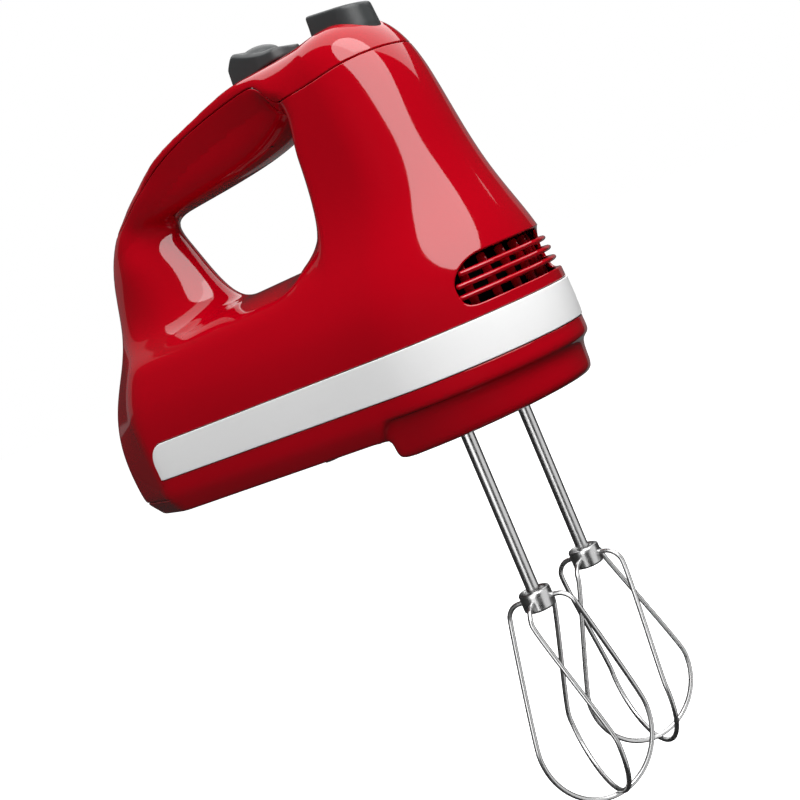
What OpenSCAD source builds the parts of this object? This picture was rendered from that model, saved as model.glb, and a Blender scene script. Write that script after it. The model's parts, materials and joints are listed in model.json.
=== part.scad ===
// Hand mixer: a one-piece handled housing in three shells, a universal motor lying along
// the housing, a worm that turns two wheels in opposite directions, and two wire beaters.
// The origin is the centre of the flat heel that the mixer rests on; +X points to the nose,
// +Y to the left and +Z up, with the beaters hanging down.

/* [Housing] */
// Length from the heel to the nose
body_len = 209; // [207:1:212]
// Full width of the housing at the trim band
body_w = 87; // [86:0.5:89]
// Height of the underside below the middle of the heel
floor_drop = 20; // [19:0.5:21]
// Wall thickness of the plastic shells
wall = 2.4; // [2:0.1:2.6]
// Lower edge of the trim band, which is also where the two housing shells meet
band_low = -4.6; // [-5:0.1:-4]
// Height of the trim band
band_h = 14.6; // [13:0.1:15]
// Thickness of the trim band
band_t = 1.4; // [1.2:0.1:1.6]
// How far the trim band stands proud of the housing
band_proud = 0.3; // [0.2:0.1:0.4]

/* [Drive] */
// Distance of the beater axes from the heel
beater_x = 164; // [164:0.5:165]
// Height of the motor axis
motor_z = 14; // [13.5:0.5:14]
// Thickness of each worm wheel
wheel_t = 10; // [8:0.5:11]
// Radius of the motor shaft
shaft_r = 3.5; // [3:0.1:3.5]
// Radius of the armature core
core_r = 16.6; // [16:0.1:16.7]
// Length of the armature core and of the stator stack
stack_len = 30; // [28:1:30]

/* [Beaters] */
// Radius of a beater's shaft
beater_shaft_r = 2.5; // [2.3:0.05:2.5]
// Radius of the beater wire
wire_r = 0.85; // [0.8:0.05:1]
// Radius of the hub that holds the wires
hub_r = 6; // [5.5:0.1:6.2]
// Height of the hub
hub_h = 7.5; // [6.5:0.1:8]
// Depth of the hub below the middle of the heel
hub_drop = 92; // [90:0.5:94]
// Widest radius of the wire basket
basket_r = 22.3; // [21:0.1:22.5]
// Twist of each wire from the hub down to the widest ring
basket_twist = 40; // [36:1:42]

/* [Controls] */
// Travel of the speed slider
slider_travel = 18; // [14:1:18]
// Radius of the bore in the cord gland
cord_r = 3.6; // [3:0.1:4]

/* [Hidden] */

eps = 0.01;
fit = 0.05;                       // radial clearance of a shaft in its bearing
red = [0.72, 0.02, 0.06];
silver = [0.82, 0.83, 0.84];
steel = [0.7, 0.7, 0.72];
dark = [0.2, 0.2, 0.21];
copper = [0.72, 0.4, 0.2];
beater_spacing = 40;              // sets the reach of both worm wheels, so it stays as it is
gear_module = 1;
wheel_teeth = 31;
half_w = body_w / 2;
under_z = -floor_drop;
boss_z = under_z - 7.5;           // flat bottom of the gear boss
band_high = band_low + band_h;
nose_x = 159;                     // where the straight sides turn into the rounded nose
beater_y = beater_spacing / 2;
wheel_pitch_r = gear_module * wheel_teeth / 2;
worm_pitch_r = beater_y - wheel_pitch_r;
worm_lead = PI * gear_module;
shaft_end = 197;
stack_x = 74;

// ---------------------------------------------------------------- outlines of the housing
// Level sections of the body: [z, heel x, nose x, half width, half width of the heel]
BODY = [[under_z, 8, body_len - 9, half_w - 4.5, 22], [-11, 0, body_len - 1.5, half_w - 0.7, 28],
    [band_low - 0.4, 0, body_len, half_w, 28], [band_high, 0, body_len, half_w, 28],
    [25, 3.5, body_len - 2.2, half_w - 1, 26], [36, 7.5, body_len - 3.8, half_w - 4.5, 22],
    [43, 11, body_len - 5, half_w - 9.5, 18], [48, 12.5, body_len - 6, half_w - 16.5, 14]];
// Level sections of the neck: [z, rear x, nose x, half width]
NECK = [[44, 116, body_len - 5, 35], [54, 129, body_len - 8, 30.5], [66, 140, body_len - 12, 28],
    [80, 143.5, body_len - 14.8, 26.5], [92, 142.5, body_len - 15.8, 25.5],
    [106.5, 140, body_len - 19.5, 24], [114, 138, body_len - 24, 21.5], [119.5, 136, body_len - 30, 17.5],
    [123.2, 150, body_len - 42, 10]];
// Level sections of the pillar behind the hand: [z, rear x, front x, half width, rear half width]
PILLAR = [[42, 11, 76, 31, 17], [50, 12.3, 68, 23, 14], [58, 13.2, 64, 20, 12], [70, 15.8, 60, 18, 11],
    [82, 19.5, 56.5, 17, 10], [92, 24.5, 54, 16.5, 9.5], [97, 31, 58, 14, 9]];
// Upright sections of the handle: [x, underside z, top z, half width]
HANDLE = [[30, 84, 96.5, 13], [46, 89.5, 104.5, 16], [62, 91, 110.5, 17], [80, 90.5, 115.5, 17.5],
    [95, 90.7, 119, 17.8], [125, 92.5, 121.4, 19], [155, 100, 123.8, 20]];
// Side view of the top cover: the line where it meets the upper housing
COVER_LINE = [[-5, 92.5], [27, 92.8], [46, 99.4], [62, 105.8], [78, 110.6], [95, 114], [118, 115.8],
    [131, 116.2], [138, 114.6], [141.6, 111], [143.4, 106.5], [body_len + 5, 106.5]];
// Side view of the line between the upper and the lower housing
SPLIT_LINE = [[-5, -13], [31, -13], [33.5, band_low], [body_len + 5, band_low]];

module body_plan(rear, front, half, heel, t = 0) {
    hull() {
        polygon([[rear + t, -heel + t / 2], [33, -half + t], [33, half - t], [rear + t, heel - t / 2]]);
        translate([nose_x, 0]) scale([(front - t - nose_x) / (half - t), 1])
            circle(r = half - t, $fn = 56);
    }
}

module neck_plan(rear, front, half, t = 0) {
    r = min(9, half / 2);
    hull() {
        for (side = [-1, 1]) translate([rear + r, side * (half - r)]) circle(r = r - t, $fn = 20);
        translate([front - half * 1.1, 0]) scale([1.1, 1]) circle(r = half - t, $fn = 40);
    }
}

module pillar_plan(rear, front, half, heel, t = 0) {
    r = half * 0.5;
    hull() {
        polygon([[rear + t, -heel + t / 2], [rear + 16, -half + t], [rear + 16, half - t],
            [rear + t, heel - t / 2]]);
        for (side = [-1, 1]) translate([front - r, side * (half - r)]) circle(r = r - t, $fn = 20);
    }
}

module handle_section(low, high, half, t = 0) {
    top_r = min(7, (high - low) / 2 - 1);
    low_r = min(9, (high - low) / 2 - 1);
    hull() for (side = [-1, 1]) {
        translate([side * (half - top_r), high - top_r]) circle(r = top_r - t, $fn = 20);
        translate([side * (half - low_r), low + low_r]) circle(r = low_r - t, $fn = 20);
    }
}

module sheet(z) translate([0, 0, z]) linear_extrude(eps) children();
module upright(x) translate([x, 0, 0]) rotate([90, 0, 90]) linear_extrude(eps) children();
function inset(i, last, t) = i == 0 ? t : (i == last ? -t : 0);

// The whole outer form of the housing, drawn in by t on every side
module form(t = 0) {
    for (i = [0 : len(BODY) - 2]) hull() for (k = [i, i + 1]) {
        s = BODY[k];
        sheet(s[0] + inset(k, len(BODY) - 1, t)) body_plan(s[1], s[2], s[3], s[4], t);
    }
    for (i = [0 : len(NECK) - 2]) hull() for (k = [i, i + 1]) {
        s = NECK[k];
        sheet(s[0] + inset(k, len(NECK) - 1, t) * (k == 0 ? 0 : 1)) neck_plan(s[1], s[2], s[3], t);
    }
    for (i = [0 : len(PILLAR) - 2]) hull() for (k = [i, i + 1]) {
        s = PILLAR[k];
        sheet(s[0] + inset(k, len(PILLAR) - 1, t) * (k == 0 ? 0 : 1))
            pillar_plan(s[1], s[2], s[3], s[4], t);
    }
    for (i = [0 : len(HANDLE) - 2]) hull() for (k = [i, i + 1]) {
        s = HANDLE[k];
        upright(s[0] + inset(k, len(HANDLE) - 1, t)) handle_section(s[1], s[2], s[3], t);
    }
}

module boss_form(t = 0) {
    for (step = [[boss_z + t, boss_z + 2 + t, 3, 0], [boss_z + 2 + t, -9, 0, -1]])
        hull() {
            sheet(step[0]) boss_plan(step[2] + t);
            sheet(step[1]) boss_plan(step[3] + t);
        }
}

module boss_plan(t) {
    hull() {
        translate([150, 0]) scale([0.28, 1]) circle(r = 37 - t, $fn = 32);
        translate([nose_x, 0]) scale([(204.5 - t - nose_x) / (37 - t), 1]) circle(r = 37 - t, $fn = 48);
    }
}

module side_region(line, z_end) {
    translate([0, 80, 0]) rotate([90, 0, 0]) linear_extrude(160)
        polygon(concat(line, [[body_len + 5, z_end], [-5, z_end]]));
}

module band_plan(grow) {
    body_plan(0, body_len, half_w, 28, -grow);
}

// Side view of the zone that the trim band fills
module band_zone(grow = 0) {
    translate([0, 80, 0]) rotate([90, 0, 0]) linear_extrude(160) hull() {
        translate([33 - grow, band_low - grow]) square([180, 8 + grow]);
        translate([48, band_low - grow]) square([165, band_h + 2 * grow]);
        translate([41.5, band_high - 8.5]) circle(r = 8.5 + grow, $fn = 32);
    }
}

// ---------------------------------------------------------------- housing shells
slot_count = 4;
slot_pitch = 3.9;
slot_low = 14.4;
slot_h = 2.6;

module vent_slots() {
    for (i = [0 : slot_count - 1])
        translate([0, 0, slot_low + i * slot_pitch]) linear_extrude(slot_h)
            intersection() {
                difference() {
                    body_plan(0, body_len + 3, half_w + 3, 28);
                    body_plan(0, body_len - 8, half_w - 8, 20);
                }
                translate([i == slot_count - 1 ? 195 : 192, -40]) square([30, 80]);
            }
}

module slider_slot() {
    translate([130 - slider_travel, -4, 100]) cube([slider_travel + 14, 8, 30]);
}

module eject_plan(grow = 0) {
    hull() {
        translate([160.5 - grow, -9.3 - grow]) square([8, 18.6 + 2 * grow]);
        translate([173.2, 0]) circle(r = 9.3 + grow, $fn = 32);
    }
}

module top_cover() {
    color(red) difference() {
        intersection() {
            difference() {
                form();
                form(wall);
            }
            side_region(COVER_LINE, 140);
        }
        slider_slot();
        translate([0, 0, 111]) linear_extrude(30) eject_plan(0.4);
    }
}

// Posts that take the housing screws, each with a rib to the nearest outer wall
module screw_posts() {
    for (p = housing_screw_places) {
        low = p[0] > 140 ? boss_z + 7 : under_z + wall;
        high = p[0] > 140 ? 6 : 20;
        translate([p[0], p[1], low]) cylinder(r = 4, h = high - low, $fn = 32);
        rib = p[0] < 60 ? [-p[0], 0] : (p[0] > 140 ? [14, 0] : [0, sign(p[1]) * 14]);
        translate([p[0], p[1], max(low, band_low + 1)]) linear_extrude(high - max(low, band_low + 1))
            hull() {
                circle(r = 1, $fn = 16);
                translate(rib) circle(r = 1, $fn = 16);
            }
    }
}

module upper_housing() {
    color(red) difference() {
        union() {
            difference() {
                form();
                form(wall);
                side_region(SPLIT_LINE, -60);
            }
            intersection() {
                union() {
                    form();
                    translate([nose_x, -20, boss_z]) cube([45, 40, 20]);
                }
                screw_posts();
            }
        }
        side_region(COVER_LINE, 140);
        for (p = housing_screw_places) translate([p[0], p[1], -40]) cylinder(r = 1.35, h = 56, $fn = 24);
        band_groove();
        vent_slots();
        translate([-5, 0, 62]) rotate([0, 90, 0]) cylinder(r = 7.3, h = 35, $fn = 48);
    }
}

module band_groove() {
    intersection() {
        band_zone();
        translate([0, 0, -20]) linear_extrude(60) difference() {
            band_plan(5);
            band_plan(-band_t + band_proud);
        }
    }
}

module screw_well() {
    p = housing_screw_places[4];
    translate([p[0], p[1], boss_z]) cylinder(r = 4.6, h = 7, $fn = 32);
}

module lower_housing() {
    color(red) difference() {
        union() {
            intersection() {
                form();
                side_region(SPLIT_LINE, -60);
            }
            boss_form();
        }
        difference() {
            union() {
                form(wall);
                boss_form(wall);
            }
            screw_well();
        }
        for (side = [-1, 1])
            translate([beater_x, side * beater_y, -40]) cylinder(r = 5.8, h = 30, $fn = 40);
        band_groove();
        for (p = housing_screw_places) {
            translate([p[0], p[1], -40]) cylinder(r = 3.3, h = screw_seat(p) + 40, $fn = 24);
            translate([p[0], p[1], -40]) cylinder(r = 1.6, h = 40, $fn = 24);
        }
    }
}

module trim_band() {
    color(silver) intersection() {
        band_zone(-0.05);
        translate([0, 0, band_low + 0.05]) linear_extrude(band_h - 0.1) difference() {
            band_plan(band_proud);
            band_plan(-band_t + band_proud + 0.05);
        }
    }
}

module vent_grille() {
    rib_pitch = 7;
    color(dark) difference() {
        translate([0, 0, 12.2]) linear_extrude(18.6) intersection() {
            difference() {
                body_plan(0, body_len - 7.2, half_w - 6.2, 20);
                body_plan(0, body_len - 9.2, half_w - 8.2, 20);
            }
            translate([186, -40]) square([30, 80]);
        }
        for (i = [-4 : 4]) translate([180, i * rib_pitch - 2.6, 13.8]) cube([40, 5.2, 15.4]);
    }
}

// ---------------------------------------------------------------- gear case
module wheel_pair_plan(r, rear, front) {
    hull() {
        for (side = [-1, 1]) translate([beater_x, side * beater_y]) circle(r = r, $fn = 48);
        translate([rear, -14]) square([front - rear, 28]);
    }
}

case_low = 3.4;
case_high = 24.4;
case_rear = 139;
case_front = 192;

module shaft_hole(r) {
    translate([20, 0, motor_z]) rotate([0, 90, 0]) cylinder(r = r, h = 200, $fn = 48);
}

module gear_case() {
    color([0.55, 0.56, 0.57]) difference() {
        union() {
            translate([0, 0, case_low]) linear_extrude(2.6) wheel_pair_plan(18.6, case_rear, case_front);
            translate([0, 0, case_low]) linear_extrude(case_high - case_low) difference() {
                wheel_pair_plan(18.6, case_rear, case_front);
                wheel_pair_plan(17, case_rear + 5, case_front - 5);
            }
            for (side = [-1, 1]) translate([beater_x, side * beater_y, boss_z + wall])
                cylinder(r = 8.6, h = case_low - boss_z - wall + 1, $fn = 48);
        }
        for (side = [-1, 1]) translate([beater_x, side * beater_y, -30]) cylinder(r = 7, h = 60, $fn = 48);
        shaft_hole(6);
        for (p = case_screw_places) translate([p[0], p[1], 10]) cylinder(r = 1.2, h = 20, $fn = 24);
    }
}

module gear_case_cover() {
    color([0.55, 0.56, 0.57]) difference() {
        union() {
            translate([0, 0, case_high]) linear_extrude(2.4) wheel_pair_plan(18.6, case_rear, case_front);
            for (side = [-1, 1])
                translate([beater_x, side * beater_y, case_high]) cylinder(r = 9, h = 6, $fn = 48);
        }
        for (side = [-1, 1]) translate([beater_x, side * beater_y, 0]) cylinder(r = 7, h = 60, $fn = 48);
        for (p = case_screw_places) translate([p[0], p[1], 10]) cylinder(r = 1.7, h = 30, $fn = 24);
    }
}

spindle_r = 5;
module spindle_bushings() {
    color([0.75, 0.55, 0.3]) for (side = [-1, 1], span = [[-24, 12], [case_high - 0.4, 6.4]])
        translate([beater_x, side * beater_y, span[0]]) difference() {
            cylinder(r = 7, h = span[1], $fn = 48);
            translate([0, 0, -1]) cylinder(r = spindle_r + fit, h = span[1] + 2, $fn = 48);
        }
}

bearing_places = [[44.5, 6], [case_rear, 5], [case_front - 5, 5]];
module shaft_bearings() {
    color([0.75, 0.55, 0.3]) for (b = bearing_places)
        translate([b[0], 0, motor_z]) rotate([0, 90, 0]) difference() {
            cylinder(r = 6, h = b[1], $fn = 48);
            translate([0, 0, -1]) cylinder(r = shaft_r + fit, h = b[1] + 2, $fn = 48);
        }
}

case_screw_places = [[141.5, 11], [141.5, -11], [189.5, 11], [189.5, -11]];
module gear_case_screws() {
    color(steel) for (p = case_screw_places) translate([p[0], p[1], case_high - 8]) {
        cylinder(r = 1.15, h = 10.4, $fn = 24);
        translate([0, 0, 10.4]) cylinder(r = 2.4, h = 1.8, $fn = 24);
    }
}

housing_screw_places = [[24, 15], [24, -15], [110, 30], [110, -30], [196, 0]];
// Level of the seat under each screw's head: the boss takes its screw deeper, up a plain well
function screw_seat(p) = p[0] > 140 ? boss_z + 6 : under_z + 1.4;
module housing_screws() {
    color(steel) for (p = housing_screw_places) translate([p[0], p[1], screw_seat(p)]) {
        translate([0, 0, -1.2]) cylinder(r = 3, h = 1.2, $fn = 24);
        cylinder(r = 1.2, h = 14, $fn = 24);
    }
}

// ---------------------------------------------------------------- motor
module along_motor(x) translate([x, 0, motor_z]) rotate([0, 90, 0]) rotate([0, 0, 90]) children();
bore_r = core_r + 0.6;
coil_in = bore_r + 0.4;
coil_out = coil_in + 4.8;

module sector(r_in, r_out, from, to, h) {
    linear_extrude(h) intersection() {
        difference() {
            circle(r = r_out, $fn = 72);
            circle(r = r_in, $fn = 72);
        }
        polygon(concat([[0, 0]], [for (k = [0 : 4])
            let (a = from + k * (to - from) / 4) [40 * cos(a), 40 * sin(a)]]));
    }
}

module stator_core() {
    color([0.45, 0.46, 0.48]) difference() {
        translate([stack_x, -28, motor_z - 23]) cube([stack_len, 56, 46]);
        along_motor(stack_x - 1) {
            cylinder(r = bore_r, h = stack_len + 2, $fn = 72);
            for (a = [-33, 147]) sector(bore_r - 1, coil_out + 0.3, a, a + 66, stack_len + 2);
            for (a = [45, 135, 225, 315]) rotate([0, 0, a]) translate([28.5, 0, -1])
                cylinder(r = 1.9, h = stack_len + 4, $fn = 24);
        }
    }
}

module field_coils() {
    end_x = 7;
    color(copper) for (turn = [0, 180]) difference() {
        along_motor(stack_x - end_x) rotate([0, 0, turn])
            sector(coil_in, coil_out, 3, 177, stack_len + 2 * end_x);
        along_motor(stack_x - 0.2) rotate([0, 0, turn])
            sector(coil_in - 2, coil_out + 2, 29, 151, stack_len + 0.4);
    }
}

module stator_screws() {
    color(steel) for (a = [45, 135, 225, 315])
        along_motor(stack_x - 4) rotate([0, 0, a]) translate([28.5, 0, 0]) {
            cylinder(r = 1.8, h = stack_len + 10, $fn = 24);
            translate([0, 0, -2]) cylinder(r = 3.2, h = 2, $fn = 24);
        }
}

module rear_motor_bracket() {
    color(dark) difference() {
        union() {
            translate([45, -24, under_z + wall]) cube([5, 48, 31]);
            translate([45, 0, motor_z]) rotate([0, 90, 0]) cylinder(r = 11, h = 5, $fn = 48);
            for (side = [-1, 1]) translate([45, side * 21 - 3, under_z + wall]) cube([22, 6, 4]);
        }
        shaft_hole(6);
    }
}

module motor_cradle() {
    color(dark) difference() {
        translate([stack_x + 2, -25, under_z + wall])
            cube([stack_len - 4, 50, motor_z - 23 - under_z - wall]);
        translate([stack_x + 6, -18, under_z]) cube([stack_len - 12, 36, 20]);
    }
}

brush_x = 59;
module brush_holders() {
    color([0.78, 0.6, 0.3]) for (side = [-1, 1])
        translate([brush_x - 4, side * 20 - 9, motor_z - 5]) difference() {
            cube([8, 18, 10]);
            translate([1.4, -1, 2]) cube([5.2, 20, 6]);
        }
}

module carbon_brushes() {
    color([0.12, 0.12, 0.13]) for (side = [-1, 1])
        translate([brush_x - 2.5, side > 0 ? 9.4 : -20.4, motor_z - 2.9]) cube([5, 11, 5.8]);
}

module brush_springs() {
    color(steel) for (side = [-1, 1], i = [0 : 5])
        translate([brush_x, side * (21.4 + i * 1.3), motor_z]) rotate([90, 0, 0])
            rotate_extrude($fn = 32) translate([1.9, 0]) circle(r = 0.3, $fn = 16);
}

module worm_thread() {
    worm_len = 22;
    turns = worm_len / worm_lead;
    // The crest faces the right wheel at the beater axes, so a valley faces the left wheel there.
    along_motor(beater_x - worm_len / 2) rotate([0, 0, 180 - 360 * turns / 2])
        linear_extrude(height = worm_len, twist = -360 * turns, slices = 80)
            translate([0.9, 0]) circle(r = worm_pitch_r, $fn = 16);
}

module armature_shaft() {
    color(steel) {
        along_motor(41) cylinder(r = shaft_r, h = beater_x - 11 - 41, $fn = 48);
        worm_thread();
        along_motor(beater_x + 11) cylinder(r = shaft_r, h = shaft_end - beater_x - 11, $fn = 48);
    }
}

module armature_core() {
    slots = 12;
    color([0.42, 0.43, 0.45]) along_motor(stack_x) difference() {
        cylinder(r = core_r, h = stack_len, $fn = 72);
        translate([0, 0, -1]) cylinder(r = shaft_r, h = stack_len + 2, $fn = 48);
        for (i = [0 : slots - 1]) rotate([0, 0, i * 360 / slots])
            translate([10.5, -1.3, -1]) cube([7, 2.6, stack_len + 2]);
    }
}

module armature_windings() {
    slots = 12;
    color(copper) {
        for (x = [stack_x - 7, stack_x + stack_len + 0.1]) along_motor(x) difference() {
            rotate_extrude($fn = 72) hull() {
                translate([5, 0]) square([5.5, 6.9]);
                translate([5, 1.5]) square([10, 4]);
            }
            translate([0, 0, -1]) cylinder(r = shaft_r + 0.5, h = 10, $fn = 48);
        }
        for (i = [0 : slots - 1]) along_motor(stack_x - 0.1) rotate([0, 0, i * 360 / slots])
            translate([10.8, -1.1, 0]) cube([4, 2.2, stack_len + 0.2]);
    }
}

module commutator() {
    bars = 24;
    color([0.8, 0.5, 0.28]) along_motor(53) difference() {
        cylinder(r = 9.2, h = 12, $fn = 72);
        translate([0, 0, -1]) cylinder(r = shaft_r, h = 14, $fn = 48);
        for (i = [0 : bars - 1]) rotate([0, 0, i * 360 / bars])
            translate([8.4, -0.3, -1]) cube([2, 0.6, 14]);
    }
}

module cooling_fan() {
    blades = 11;
    color([0.15, 0.15, 0.16]) along_motor(118) {
        difference() {
            union() {
                cylinder(r = 21.5, h = 1.6, $fn = 72);
                cylinder(r = 7, h = 10, $fn = 48);
                for (i = [0 : blades - 1]) rotate([0, 0, i * 360 / blades])
                    translate([6, -0.7, 0.8]) cube([15, 1.4, 9]);
            }
            translate([0, 0, -1]) cylinder(r = shaft_r, h = 14, $fn = 48);
        }
    }
}

// ---------------------------------------------------------------- spindles and wheels
module at_beater(side) translate([beater_x, side * beater_y, 0]) children();
pin_low = 8.4;

module spindle(side) {
    color(steel) at_beater(side) difference() {
        union() {
            translate([0, 0, -25]) cylinder(r = spindle_r, h = 54.5, $fn = 48);
            translate([0, 0, 6.6]) cylinder(r = 7.4, h = 2.2, $fn = 48);
        }
        translate([0, 0, -26]) cylinder(r = beater_shaft_r + 0.08, h = 60, $fn = 48);
        translate([-3.9, -0.8, -26]) cube([7.8, 1.6, 34]);
    }
}

module worm_wheel(side) {
    root_r = wheel_pitch_r - 1.15;
    tip_r = wheel_pitch_r + 0.6;
    phase = side > 0 ? -90 : 90 + 180 / wheel_teeth;
    color([0.88, 0.86, 0.8]) at_beater(side) translate([0, 0, motor_z - wheel_t / 2]) difference() {
        linear_extrude(wheel_t) {
            circle(r = root_r, $fn = 72);
            for (i = [0 : wheel_teeth - 1]) rotate(phase + i * 360 / wheel_teeth)
                polygon([[root_r - 0.5, -0.95], [wheel_pitch_r, -0.5], [tip_r, -0.25],
                    [tip_r, 0.25], [wheel_pitch_r, 0.5], [root_r - 0.5, 0.95]]);
        }
        translate([0, 0, -1]) cylinder(r = spindle_r, h = wheel_t + 2, $fn = 48);
        for (i = [0 : 4]) rotate([0, 0, i * 72 + 36])
            translate([10, 0, -1]) cylinder(r = 2, h = wheel_t + 2, $fn = 24);
    }
}

module ejector_pin(side) {
    color(steel) at_beater(side) {
        translate([0, 0, pin_low]) cylinder(r = beater_shaft_r - 0.02, h = 45 - pin_low - 2, $fn = 32);
        translate([0, 0, 43]) cylinder(r = 4.6, h = 2, $fn = 32);
    }
}

// ---------------------------------------------------------------- beaters
// Direction of the first wire's plane at the bottom of each basket, about the beater's axis
function wire_phase(side) = side > 0 ? -34.4 : 52.2;
shoulder_r = 6.2;                 // bend where a wire turns down from the hub
shoulder_at = 7.2;                // distance of that bend's centre from the axis
basket_z = -53.5;                 // centre of the rounded bottom, below the hub
basket_depth = 24.4;

function turned(r, a, z) = [r * cos(a), r * sin(a), z];
// One half of a loop, from inside the hub to the lowest point
function half_loop(a, twist, depth) = concat(
    [turned(hub_r - 1.5, a - twist, 0)],
    [for (t = [90 : -16 : 10]) turned(shoulder_at + shoulder_r * cos(t), a - twist,
        shoulder_r * (sin(t) - 1))],
    [for (u = [6 : -8 : -82]) turned(basket_r * cos(u), a, basket_z + depth * sin(u))]);
function reversed(p) = [for (i = [len(p) - 1 : -1 : 0]) p[i]];
function loop_path(a, twist, depth) = concat(half_loop(a, twist, depth),
    [[0, 0, basket_z - depth]], reversed(half_loop(a + 180, twist, depth)));
function unit(v) = v / norm(v);
function tangent(p, i) = unit(p[min(i + 1, len(p) - 1)] - p[max(i - 1, 0)]);

// Triangles of a closed tube made of n rings with the given number of sides
function tube_faces(n, sides) = concat(
    [for (i = [0 : n - 2], k = [0 : sides - 1], half = [0, 1])
        let (a = i * sides + k, b = i * sides + (k + 1) % sides)
        half == 0 ? [a, b, b + sides] : [a, b + sides, a + sides]],
    [[for (k = [sides - 1 : -1 : 0]) k], [for (k = [0 : sides - 1]) (n - 1) * sides + k]]);

// A round wire swept along points that stay near the upright plane at angle a
module wire(p, a, twist, r, sides = 8) {
    n = len(p);
    hub_rings = 6;
    ring = [for (i = [0 : n - 1])
        let (low = i > hub_rings && i < n - 1 - hub_rings, b = low ? a : a - twist,
            side = [-sin(b), cos(b), 0], t = tangent(p, i), u = unit(cross(t, side)), v = cross(t, u))
        for (k = [0 : sides - 1]) p[i] + r * (u * cos(k * 360 / sides) + v * sin(k * 360 / sides))];
    polyhedron(points = ring, faces = tube_faces(n, sides), convexity = 6);
}

module beater_wire(side, second) {
    a = wire_phase(side) + (second ? 90 : 0);
    twist = -side * basket_twist;
    depth = basket_depth - (second ? 2 * wire_r + 0.1 : 0);
    color(steel) at_beater(side) translate([0, 0, -hub_drop])
        wire(loop_path(a, twist, depth), a, twist, wire_r);
}

module beater_hub(side) {
    color(steel) at_beater(side) translate([0, 0, -hub_drop - hub_h / 2]) difference() {
        cylinder(r = hub_r, h = hub_h, $fn = 48);
        translate([0, 0, -1]) cylinder(r = beater_shaft_r, h = hub_h + 2, $fn = 48);
    }
}

module beater_shaft(side) {
    color(steel) at_beater(side) {
        translate([0, 0, -hub_drop - hub_h / 2])
            cylinder(r = beater_shaft_r, h = hub_drop + hub_h / 2 + pin_low - 0.1, $fn = 48);
        translate([-3.6, -0.6, -2]) cube([7.2, 1.2, 6]);
    }
}

// ---------------------------------------------------------------- controls
button_low = 113;
module eject_button() {
    color(dark) {
        hull() {
            translate([0, 0, button_low]) linear_extrude(6) eject_plan();
            translate([161, -8.5, 129]) cube([4, 17, 1.5]);
            translate([0, 0, 125.5]) linear_extrude(0.5) translate([171, 0]) circle(r = 8.3, $fn = 32);
        }
        translate([166, 0, button_low - 1]) cylinder(r = 4.5, h = 2, $fn = 32);
    }
}

module ejector_yoke() {
    foot_z = 45.3;
    color([0.85, 0.85, 0.83]) {
        translate([166, 0, foot_z]) cylinder(r = 3, h = 112 - foot_z, $fn = 32);
        difference() {
            translate([159, -26, foot_z]) cube([11, 52, 3.5]);
            translate([166, 0, foot_z - 1]) cylinder(r = 3, h = 6, $fn = 32);
        }
    }
}

module ejector_guide() {
    color([0.55, 0.56, 0.57]) difference() {
        union() {
            translate([0, 0, 84]) linear_extrude(3) polygon([[147, -15], [152, -23], [166, -23], [179, -18],
                [184, -9], [184, 9], [179, 18], [166, 23], [152, 23], [147, 15]]);
            translate([166, 0, 84]) cylinder(r = 7.5, h = 6, $fn = 32);
        }
        translate([166, 0, 80]) cylinder(r = 3.08, h = 20, $fn = 32);
    }
}

spring_turns = 7;
function spring_point(t, r, low, h) =
    [r * cos(360 * spring_turns * t), r * sin(360 * spring_turns * t), low + h * t];
module ejector_spring() {
    steps = 84;
    sides = 6;
    low = 90.6;
    h = 20.6;
    pts = [for (i = [0 : steps]) spring_point(i / steps, 4.4, low, h)];
    ring = [for (i = [0 : steps])
        let (t = tangent(pts, i), u = unit(cross(t, [0, 0, 1])), v = cross(t, u))
        for (k = [0 : sides - 1]) pts[i] + 0.5 * (u * cos(k * 60) + v * sin(k * 60))];
    color(steel) translate([166, 0, 0])
        polyhedron(points = ring, faces = tube_faces(steps + 1, sides), convexity = 10);
}

// The slider runs along the handle's top, which climbs towards the nose
slide_slope = atan(0.08);
module on_slide(x) translate([x, 0, 119 + 0.08 * (x - 95)]) rotate([0, -slide_slope, 0]) children();

module speed_slider() {
    color(dark) on_slide(119) {
        hull() {
            translate([0, -10, 0.4]) cube([33, 20, 1]);
            translate([1, -9, 6]) cube([12, 18, 1]);
            translate([7, -8, 9.6]) cube([8, 16, 0.8]);
            translate([28, -8.5, 2.5]) cube([4, 17, 1]);
        }
        translate([12, -3, -6]) cube([10, 6, 6.5]);
    }
}

module slider_carriage() {
    color([0.85, 0.85, 0.83]) on_slide(119) difference() {
        translate([4, -9, -8.4]) cube([26, 18, 3]);
        translate([12, -3, -9]) cube([10, 6, 5]);
    }
}

module speed_switch() {
    color([0.16, 0.16, 0.18]) {
        translate([101, -8, 97]) cube([22, 16, 7]);
        translate([99, -9, 95.5]) cube([26, 18, 1.5]);
    }
    color(copper) for (i = [0 : 5]) translate([102.5 + i * 3.4, -2, 104]) cube([2, 4, 1]);
}

module terminal_block() {
    color([0.9, 0.9, 0.86]) difference() {
        translate([27, -9, 40]) cube([14, 18, 8]);
        for (i = [-1 : 1])
            translate([26, i * 5.6, 44]) rotate([0, 90, 0]) cylinder(r = 1.6, h = 20, $fn = 24);
    }
}

module suppressor_capacitor() {
    color([0.75, 0.7, 0.2]) translate([22, 14, 21]) cube([18, 9, 13]);
}

module cord_gland() {
    color(dark) translate([15.8, 0, 62]) rotate([0, 90, 0]) difference() {
        union() {
            cylinder(r = 7, h = 14, $fn = 48);
            translate([0, 0, 3.6]) cylinder(r = 9, h = 2.4, $fn = 48);
        }
        translate([0, 0, -1]) cylinder(r = cord_r, h = 20, $fn = 48);
    }
}

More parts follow.
